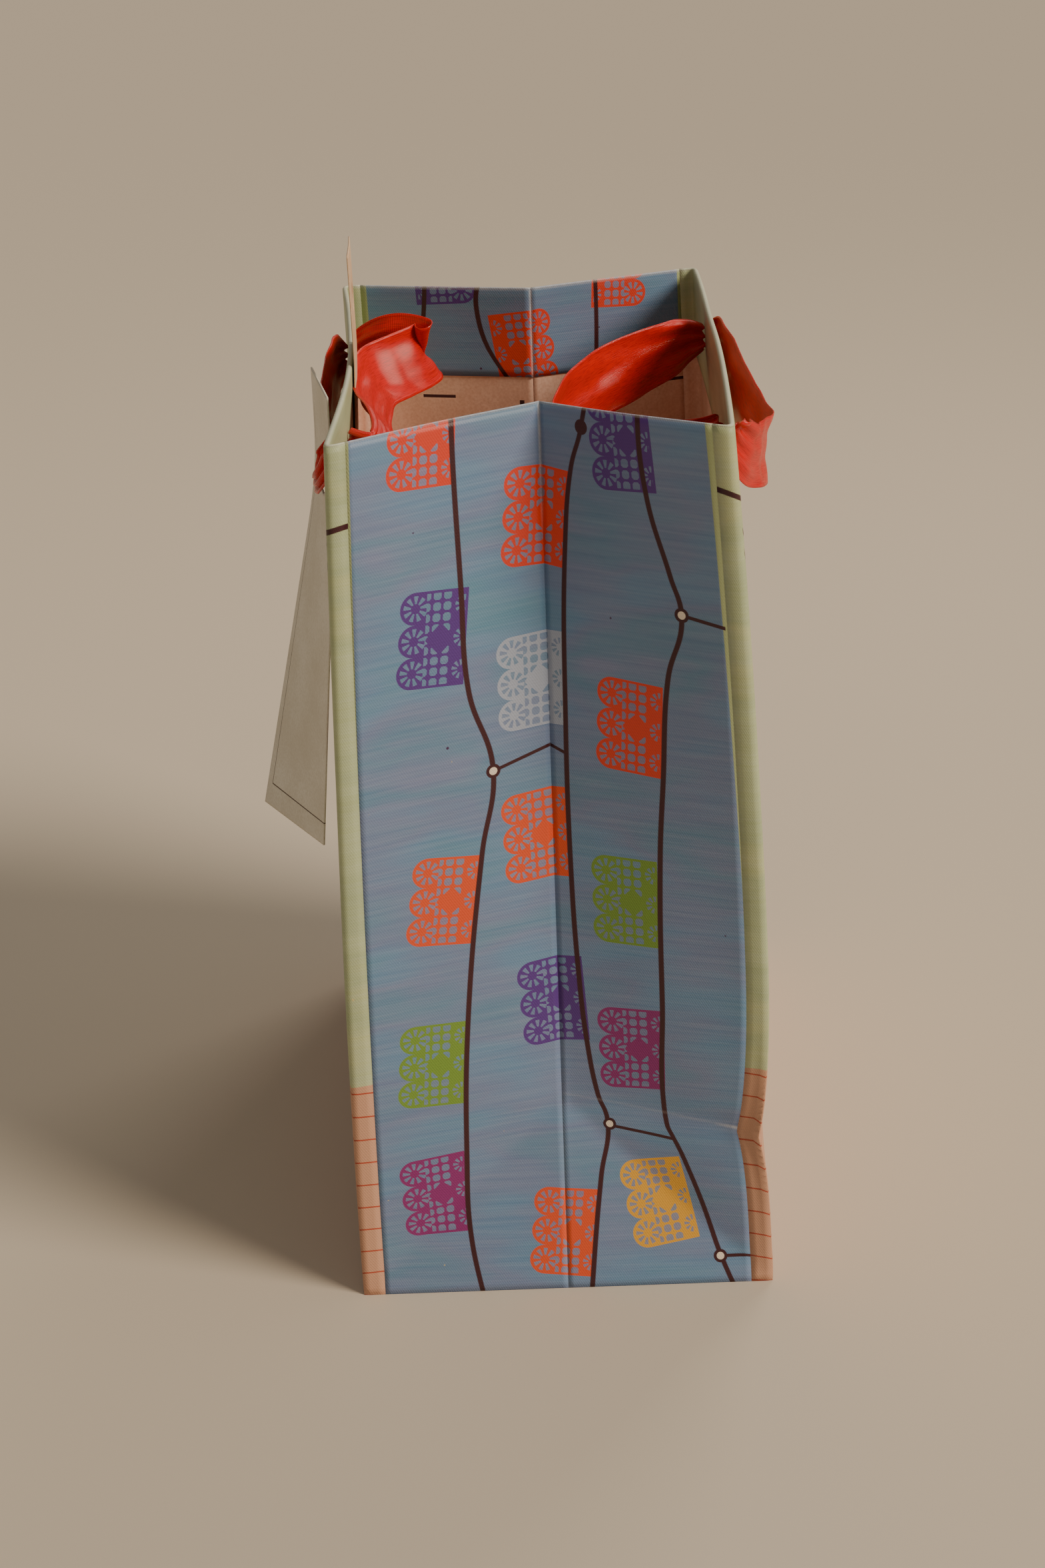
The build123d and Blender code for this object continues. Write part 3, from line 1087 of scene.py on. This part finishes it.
@dataclass
class Shell:
    """The printed paper tube: walls, gusset halves, their turned-in rims and the seam."""

    form: BagForm
    papers: Papers
    wall_cols: int = 96
    half_cols: int = 30
    rows: int = 120
    rim_rows: int = 18
    rim_arc: int = 6

    def ply(self, face: bpy.types.Material, back: bpy.types.Material) -> Ply:
        """The tube's paper, with a finish on each side."""
        return Ply(face, back, self.form.paper, "printed_paper")

    def fold_thickness(self, u: float) -> float:
        """How thick the folded rim is at u along a wall: card behind the wall, paper alone beyond."""
        thin = 2.2 * self.form.paper
        thick = thin + self.form.card + 0.3 * self.form.paper
        past = (abs(u) - self.form.half_panel) / self.form.wrap
        return thick + (thin - thick) * ease((past + 1) / 2)

    def rim_fold(self, outer: Place, u: float, t: float, thick: float, normal: Vector) -> tuple[Vector, float]:
        """A point of a turned-in rim.

        Args:
            outer: The outer face, by u and height.
            u: The place along the sheet.
            t: 0 at the outer face and 1 at the turn-in's lower edge.
            thick: The fold's thickness.
            normal: The direction to the bag's inside.

        Returns:
            The point, and how far along the paper it is from the outer face's top.
        """
        radius = thick / 2
        base = self.form.height - radius
        arc_share = self.rim_arc / self.rim_rows
        if t <= arc_share:
            turn = math.pi * t / arc_share
            lift = radius * math.sin(turn)
            spot = outer(u, base)
            return spot + normal * (radius - radius * math.cos(turn)) + Vector((0, 0, lift)), radius * turn
        down = (t - arc_share) / (1 - arc_share) * (self.form.turn_in - radius)
        spot = outer(u, base - down)
        return spot + normal * thick, math.pi * radius + down

    def make_wall(self, side: Side) -> None:
        """Makes a wall, its rim card and its turned-in rim."""
        form = self.form
        label = side.label
        reach = form.half_panel + form.wrap
        outward = Vector((side.value, 0, 0))
        paper = self.ply(self.papers.wall, self.papers.plain)

        def along(s: float) -> float:
            return (2 * s - 1) * reach

        def outer(u: float, z: float) -> Vector:
            return form.wall(side, u, z)

        def top(u: float) -> float:
            return form.height - self.fold_thickness(u) / 2

        def normal(u: float) -> Vector:
            return form.inward(lambda q: outer(q, form.height), u, 0.2 * MM)

        def fold(s: float, t: float) -> tuple[Vector, float]:
            u = along(s)
            return self.rim_fold(outer, u, t, self.fold_thickness(u), normal(u))

        # Spots run by the side's sign, so that a print reads left to right from outside.
        panel = make_ply(
            f"{label}_panel_sheet",
            (self.wall_cols, self.rows),
            lambda s, t: outer(along(s), t * top(along(s))),
            lambda s, t: (side.value * along(s), t * top(along(s))),
            outward,
            paper,
            [f"{label}_panel"],
        )
        rim = make_ply(
            f"{label}_rim_fold",
            (self.wall_cols, self.rim_rows),
            lambda s, t: fold(s, t)[0],
            lambda s, t: (side.value * along(s), top(along(s)) + fold(s, t)[1]),
            -outward,
            paper,
            [f"{label}_rim_turn_in"],
        )
        card_low, card_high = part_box(f"{label}_rim_card")
        half = (card_high.y - card_low.y) / 2 - 2 * MM
        card_top = form.height - 1.5 * MM

        def card(s: float, t: float) -> Vector:
            u = (2 * s - 1) * half
            return outer(u, card_low.z + t * (card_top - card_low.z)) + normal(u) * (1.15 * form.paper)

        board = Ply(self.papers.board, self.papers.board, form.card * 0.8, "grey_card")
        nodes = [f"{label}_rim_card"]
        strip = make_ply(f"{label}_rim_card_strip", (40, 6), card, lambda s, t: (s, t), outward, board, nodes)
        for piece in (panel, rim, strip):
            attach(piece, f"{label}_wall")

    def make_half(self, side: Side, end: End) -> None:
        """Makes half a gusset and its turned-in rim."""
        form = self.form
        name = f"{end.label}_gusset_{side.label}"
        start = form.wrap / form.half_gusset
        thick = self.fold_thickness(form.half_panel + form.wrap)
        top = form.height - thick / 2
        run = side.value * -end.value * form.half_gusset
        outward = Vector((0, end.value, 0))
        inside = self.papers.marked if end is End.FAR else self.papers.plain

        def share(s: float) -> float:
            return start + (1 - start) * s

        def outer(q: float, z: float) -> Vector:
            return form.gusset(side, end, q, z)

        def inner(q: float) -> Vector:
            if q > 0.995:
                narrowing = abs(form.corner(side, end, form.height).x) / form.half_gusset
                return Vector((0, -end.value / narrowing, 0))
            return form.inward(lambda p: outer(p, form.height), q, 0.003)

        def across(s: float) -> float:
            return run * (1 - share(s))

        def fold(s: float, t: float) -> tuple[Vector, float]:
            return self.rim_fold(outer, share(s), t, thick, inner(share(s)))

        half = make_ply(
            f"{name}_sheet",
            (self.half_cols, self.rows),
            lambda s, t: outer(share(s), t * top),
            lambda s, t: (across(s), t * top),
            outward,
            self.ply(self.papers.gusset, inside),
            [f"{name}_half"],
        )
        rim = make_ply(
            f"{name}_rim_fold",
            (self.half_cols, self.rim_rows),
            lambda s, t: fold(s, t)[0],
            lambda s, t: (across(s), top + fold(s, t)[1]),
            -outward,
            self.ply(self.papers.gusset, self.papers.plain),
            [f"{name}_turn_in"],
        )
        for piece in (half, rim):
            self.bend(piece, side, end)

    def make_seam(self) -> None:
        """Makes the glued lap behind the near gusset, beside the back wall."""
        form = self.form
        low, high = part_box("side_seam_flap")
        first = 3.2 * MM
        width = 14 * MM

        def place(s: float, t: float) -> Vector:
            z = low.z + t * (high.z - low.z)
            q = (first + s * width) / form.half_gusset
            normal = form.inward(lambda p: form.gusset(Side.BACK, End.NEAR, p, z), q, 0.004)
            return form.gusset(Side.BACK, End.NEAR, q, z) + normal * (2.2 * form.paper)

        paper = self.ply(self.papers.plain, self.papers.plain)
        aim, nodes = Vector((0, 1, 0)), ["side_seam_flap"]
        lap = make_ply("side_seam_lap", (8, 60), place, lambda s, t: (s * width, t), aim, paper, nodes)
        self.bend(lap, Side.BACK, End.NEAR)

    def bend(self, piece: bpy.types.Object, side: Side, end: End) -> None:
        """Bakes a gusset piece's placement into its mesh."""
        corner = self.form.settle(self.form.corner(side, end, self.form.height))
        f"{side.label}_wall"
        f"{end.label}_gusset_{side.label}"
        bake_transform(piece)

    def build(self) -> None:
        """Makes every sheet of the tube."""
        for side in Side:
            self.make_wall(side)
            for end in End:
                self.make_half(side, end)
        self.make_seam()


@dataclass(frozen=True)
class Pose:
    """Where the ribbon is at one place of its loop, in millimetres and degrees.

    Attributes:
        along: Along the wall.
        out: Out of the wall's face, on the loop's own side.
        up: Height of the ribbon's middle.
        tilt: How far its upper edge leans away from the wall.
        width: How wide it is: less than its full width where it is gathered.
    """

    along: float
    out: float
    up: float
    tilt: float = 0.0
    width: float = 19.0


@dataclass
class RibbonLoop:
    """One loop of a handle, from the far punched hole to the near one."""

    side: Side
    inside: bool
    poses: tuple[Pose, ...]
    cup: float = 1.2 * MM
    width: float = 19 * MM
    pleats: int = 3
    thickness: float = 0.3 * MM
    cols: int = 24
    rows: int = 168

    @property
    def kind(self) -> str:
        """Which of its handle's two loops it is."""
        return "inner" if self.inside else "outer"

    @property
    def name(self) -> str:
        """The loop's name in the frame."""
        return f"{self.side.label}_ribbon_{self.kind}"

    @property
    def away(self) -> int:
        """The direction along x in which the loop stands out of its wall."""
        return -self.side.value if self.inside else self.side.value

    def at(self, form: BagForm, t: float) -> tuple[Vector, float, float]:
        """The ribbon's middle, tilt and width at share t, on a smooth line through the poses."""
        place = t * (len(self.poses) - 1)
        k = min(int(place), len(self.poses) - 2)
        q = place - k
        near = [self.poses[min(max(j, 0), len(self.poses) - 1)] for j in range(k - 1, k + 3)]
        values = []
        for a, b, c, d in zip(*((p.along, p.out, p.up, p.tilt, p.width) for p in near)):
            cubic = (3 * b - a - 3 * c + d) * q**3 + (2 * a - 5 * b + 4 * c - d) * q**2 + (c - a) * q
            values.append(b + cubic / 2)
        along, out, up, tilt, width = values
        wall = form.settle(form.flat_wall(self.side, along * MM, min(up * MM, form.height)))
        layers = 1.9 * MM if self.inside else 0.3 * MM
        x = wall.x + self.away * (out * MM + layers)
        return Vector((x, along * MM, up * MM)), tilt, width * MM

    def section(self, form: BagForm, t: float) -> tuple[Vector, Vector, Vector, float]:
        """The ribbon's middle, the ways across it and out of its face, and its width."""
        step = 0.006
        centre, tilt, width = self.at(form, t)
        run = self.at(form, min(1, t + step))[0] - self.at(form, max(0, t - step))[0]
        run.normalize()
        leaning = Vector((self.away * math.sin(math.radians(tilt)), 0, math.cos(math.radians(tilt))))
        across = (leaning - run * leaning.dot(run)).normalized()
        return centre, across, run.cross(across), width

    def place(self, section: tuple[Vector, Vector, Vector, float], s: float, t: float) -> Vector:
        """A point of the ribbon, s across it and t along it."""
        centre, across, normal, width = section
        pleat = math.sqrt(max(0.0, self.width**2 - width**2)) / (6 * self.pleats)
        wave = math.sin(2 * math.pi * self.pleats * s + 0.6) * pleat
        full = width / self.width
        wave += self.cup * math.sin(math.pi * s) * math.sin(math.pi * t) * full
        ripple = noise.noise(Vector((s * 3.1, t * 7, self.side.value * 3 + self.inside * 9)))
        edge = noise.noise(Vector((s * 1.2, t * 13, 40 + self.side.value)))
        wave += (1.3 * ripple + 0.9 * edge) * MM * full * ease(min(t, 1 - t) / 0.1)
        return centre + across * (s - 0.5) * width + normal * wave

    def build(self, form: BagForm, satin: bpy.types.Material) -> bpy.types.Object:
        """Makes the loop, whose ends lie at the wall's holes."""
        sections = [self.section(form, k / self.rows) for k in range(self.rows + 1)]
        lengths = [0.0]
        for a, b in zip(sections, sections[1:]):
            lengths.append(lengths[-1] + (b[0] - a[0]).length)
        band = grid_sheet(
            f"{self.name}_band",
            self.cols,
            self.rows,
            lambda s, t: self.place(sections[round(t * self.rows)], s, t),
            lambda s, t: (s * self.width, lengths[round(t * self.rows)]),
        )
        band.data.materials.append(satin)
        solid = band.modifiers.new("ribbon", "SOLIDIFY")
        solid.thickness = self.thickness
        solid.offset = 0.0
        nodes = [self.name]
        if not self.inside:
            nodes.append(f"{self.side.label}_ribbon_necks")
        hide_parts(*nodes)
        f"{self.side.label}_panel"
        loop = f"{self.side.label}_loop_{self.kind}"
        f"{self.side.label}_wall"
        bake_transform(band)
        log.info("%s: %.0f mm of ribbon", band.name, lengths[-1] / MM)
        return band


FRONT_OUTER = (
    Pose(41, 0, 243, 0, 8),
    Pose(37, 2.2, 242.5, 0, 17),
    Pose(24, 4, 240.5, 6),
    Pose(10, 5.4, 236.5, 8),
    Pose(0, 6.2, 231, 6, 14),
    Pose(-9, 6.6, 226, 0, 6),
    Pose(-16.8, 8, 224.4, 0, 5),
    Pose(-26, 7.6, 225.5, 0, 5.5),
    Pose(-36, 6.4, 229, 0, 7),
    Pose(-41.5, 4, 235, 0, 8),
    Pose(-42, 0, 241.5, 0, 7),
)
FRONT_INNER = (
    Pose(41, 0, 244, 0, 8),
    Pose(40, 5, 246, 0, 14),
    Pose(38.5, 12, 247, -8, 18),
    Pose(37, 20, 246, -20),
    Pose(35.5, 22, 245, -24),
    Pose(32, 20, 244.5, -24),
    Pose(24, 13.5, 244, -27),
    Pose(15, 7, 243.5, -36),
    Pose(4, 5.2, 243, -42, 17),
    Pose(-12, 5.4, 243, -42, 15),
    Pose(-27, 7.5, 242.5, -38, 14),
    Pose(-38, 9.5, 241, -30, 12),
    Pose(-45, 6.5, 239.5, -10, 10),
    Pose(-42, 0, 241, 0, 8),
)
BACK_OUTER = (
    Pose(42, 0, 243, 0, 10),
    Pose(39, 1.6, 242.8, 0, 18),
    Pose(26, 3.6, 239.5, 4),
    Pose(10, 5.8, 235, 8),
    Pose(-6, 8.6, 230.5, 8),
    Pose(-20, 11.2, 229, 6),
    Pose(-29, 9.6, 230, 0),
    Pose(-37, 5.5, 232, 0, 17),
    Pose(-42, 1.5, 238.5, 0, 12),
    Pose(-42, 0, 241.5, 0, 8),
)
BACK_INNER = (
    Pose(42, 0, 244.5, 0, 8),
    Pose(40, 4.5, 244, 4, 13),
    Pose(35, 10.5, 243, 8, 17),
    Pose(25, 21.5, 241, 12),
    Pose(12, 32, 239.5, 14),
    Pose(0, 40.5, 236.5, 12),
    Pose(-12, 44.5, 231.5, 6),
    Pose(-21, 41, 229, -8),
    Pose(-30, 25, 230.5, -14, 17),
    Pose(-38, 9, 235.5, -6, 14),
    Pose(-42, 0, 241.5, 0, 8),
)


@dataclass
class Handles:
    """Both ribbon handles: a ring through each wall's two holes, so each has two loops."""

    form: BagForm
    papers: Papers

    def build(self) -> None:
        """Makes the four loops."""
        for side, inside, poses in (
            (Side.FRONT, False, FRONT_OUTER),
            (Side.FRONT, True, FRONT_INNER),
            (Side.BACK, False, BACK_OUTER),
            (Side.BACK, True, BACK_INNER),
        ):
            RibbonLoop(side, inside, poses).build(self.form, self.papers.satin)


@dataclass(frozen=True)
class HangTag:
    """The hang tag, which hangs off the ribbon in its slot and twists away from the wall below it.

    Attributes:
        width: Across it.
        length: Down it.
        slot: From its top to its slot's middle, as a share of its length.
        slot_radius: The slot's radius.
        top: Its far top corner.
        foot: How far its far bottom corner is from there, before it swings out.
        swing_out: How far the swing takes its foot out.
        turn: How much further out its near edge stands than its far edge.
        turn_out: How much of a turn the swing adds.
        near_rise: How much higher its near edge hangs.
        bend_start: Where it bends, below its slot, as a share of its length.
        bend_rate: How sharply it bends.
    """

    width: float = 41 * MM
    length: float = 138 * MM
    slot: float = 27 / 138
    slot_radius: float = 5.2 * MM
    top: tuple[float, float, float] = (-63.6 * MM, 3 * MM, 250 * MM)
    foot: tuple[float, float, float] = (-1.4 * MM, 0, -136 * MM)
    swing_out: float = 23.2 * MM
    turn: float = 7.4 * MM
    turn_out: float = 13.4 * MM
    near_rise: float = 2 * MM
    bend_start: float = 0.02
    bend_rate: float = 26.0

    def place(self, s: float, t: float) -> Vector:
        """A point of the tag, s across it and t down it."""
        start = self.slot + self.bend_start
        swing = math.log1p(math.exp((t - start) * self.bend_rate)) / self.bend_rate / (1 - start)
        far = Vector(self.top) + Vector(self.foot) * t - Vector((self.swing_out * swing, 0, 0))
        out = self.turn + self.turn_out * swing
        near = far + Vector((out, -math.sqrt(self.width**2 - out**2), self.near_rise))
        return far.lerp(near, s)


@dataclass
class Cards:
    """The loose and glued cards: hang tag, peg tab and the folded base."""

    form: BagForm
    papers: Papers
    frame: dict
    tag: HangTag = HangTag()
    tag_thickness: float = 0.5 * MM
    peg_thickness: float = 0.4 * MM
    peg_hole: float = 3.2 * MM
    peg_hole_drop: float = 15 * MM

    def build(self) -> None:
        """Dresses the CAD cards and makes the hang tag and the peg tab."""
        self.dress("base_card", self.papers.board)
        for part in ("back", "front", "near", "far"):
            self.dress(f"base_{part}_flap", self.papers.plain)
        self.make_peg()
        self.make_tag()

    def dress(self, node: str, material: bpy.types.Material) -> None:
        """Gives a CAD node its finish."""
        mesh = self.frame["nodes"][node].data
        mesh.materials.clear()
        mesh.materials.append(material)

    def make_peg(self) -> None:
        """Makes the peg tab, which follows the bowed wall."""
        form = self.form
        low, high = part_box("peg_tab")
        half = (high.y - low.y) / 2

        def place(s: float, t: float) -> Vector:
            z = low.z + t * (high.z - low.z)
            spot = form.wall(Side.FRONT, (2 * s - 1) * half, min(z, form.height))
            return Vector((spot.x + 2.1 * MM, spot.y, spot.z + max(0.0, z - form.height)))

        card = Ply(self.papers.peg, self.papers.peg, self.peg_thickness, "peg_card")
        aim = Vector((-1, 0, 0))
        tab = make_ply("peg_tab_card", (28, 76), place, lambda s, t: (s, t), aim, card, ["peg_tab"])
        pierce(tab, Vector((0, 0, high.z - self.peg_hole_drop)), self.peg_hole)
        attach(tab, "front_wall")

    def make_tag(self) -> None:
        """Makes the hang tag."""
        tag = self.tag
        card = Ply(self.papers.tag, self.papers.tag, self.tag_thickness, "tag_card")
        piece = make_ply(
            "hang_tag_card",
            (60, 160),
            tag.place,
            lambda s, t: (s * tag.width, t * tag.length),
            Vector((-1, 0, 0)),
            card,
            ["hang_tag"],
        )
        pierce(piece, tag.place(0.5, tag.slot), tag.slot_radius)
        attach(piece, "tag")


@dataclass
class Studio:
    """The camera, floor and lights."""

    eye: tuple[float, float, float] = (-0.006, -0.605, 0.408)
    pitch: float = 25.6
    yaw: float = -0.2
    roll: float = -2.2
    lens: float = 50.0
    target: tuple[float, float, float] = (0, 0, 0.12)
    floor_size: float = 80.0

    def build(self) -> None:
        """Sets up the view."""
        self.make_camera()
        self.make_floor()
        self.hang("SUN", "key", (1.0, -0.5, 0.85), 3.0, "ffeed8", angle=math.radians(22))
        self.hang("AREA", "back", (0.35, 0.55, 0.95), 2.2, "fff1e0", size=0.35)
        world = bpy.data.worlds.new("studio")
        world.use_nodes = True
        sky = world.node_tree.nodes["Background"]
        sky.inputs["Color"].default_value = linear("f2e9dc")
        sky.inputs["Strength"].default_value = 0.25
        bpy.context.scene.world = world

    def make_camera(self) -> None:
        """Places the camera by its eye point and its three turns."""
        pitch, yaw, roll = (math.radians(a) for a in (self.pitch, self.yaw, self.roll))
        ahead = Vector((math.sin(yaw) * math.cos(pitch), math.cos(yaw) * math.cos(pitch), -math.sin(pitch)))
        right = Vector((math.cos(yaw), -math.sin(yaw), 0))
        up = right.cross(ahead)
        turned_right = right * math.cos(roll) + up * math.sin(roll)
        turned_up = up * math.cos(roll) - right * math.sin(roll)
        lens = bpy.data.cameras.new("camera")
        lens.lens = self.lens
        camera = bpy.data.objects.new("camera", lens)
        axes = Matrix((turned_right, turned_up, -ahead)).transposed()
        camera.matrix_world = Matrix.Translation(self.eye) @ axes.to_4x4()
        bpy.context.scene.collection.objects.link(camera)
        bpy.context.scene.camera = camera

    def make_floor(self) -> None:
        """Makes the plain pale floor."""
        size = self.floor_size
        floor = grid_sheet(
            "floor", 1, 1, lambda s, t: Vector(((s - 0.5) * size, (t - 0.5) * size, 0)), lambda s, t: (s, t)
        )
        material, _ = new_material("floor_paint", Roughness=0.75, Base_Color=linear("d9cdbb"))
        floor.data.materials.append(material)

    def hang(self, kind: str, name: str, place: tuple, power: float, colour: str, **softness: float) -> None:
        """Hangs a lamp that looks at the bag.

        Args:
            kind: The lamp's kind.
            name: Its name.
            place: Where it is.
            power: How strong it is.
            colour: Its sRGB colour.
            **softness: The setting that makes its shadows soft, by name.
        """
        lamp = bpy.data.lights.new(name, kind)
        lamp.energy = power
        lamp.color = linear(colour)[:3]
        for setting, value in softness.items():
            setattr(lamp, setting, value)
        made = bpy.data.objects.new(name, lamp)
        turn = (Vector(self.target) - Vector(place)).to_track_quat("-Z", "Y")
        made.matrix_world = Matrix.Translation(place) @ turn.to_matrix().to_4x4()
        bpy.context.scene.collection.objects.link(made)


def main() -> None:
    """Builds the scene around the frame."""
    logging.basicConfig(level=logging.INFO, format="%(name)s: %(message)s")
    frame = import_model()
    Studio().build()
    form = BagForm.from_frame()
    papers = Papers.build()
    Shell(form, papers).build()
    Handles(form, papers).build()
    Cards(form, papers, frame).build()


if __name__ == "__main__":
    main()
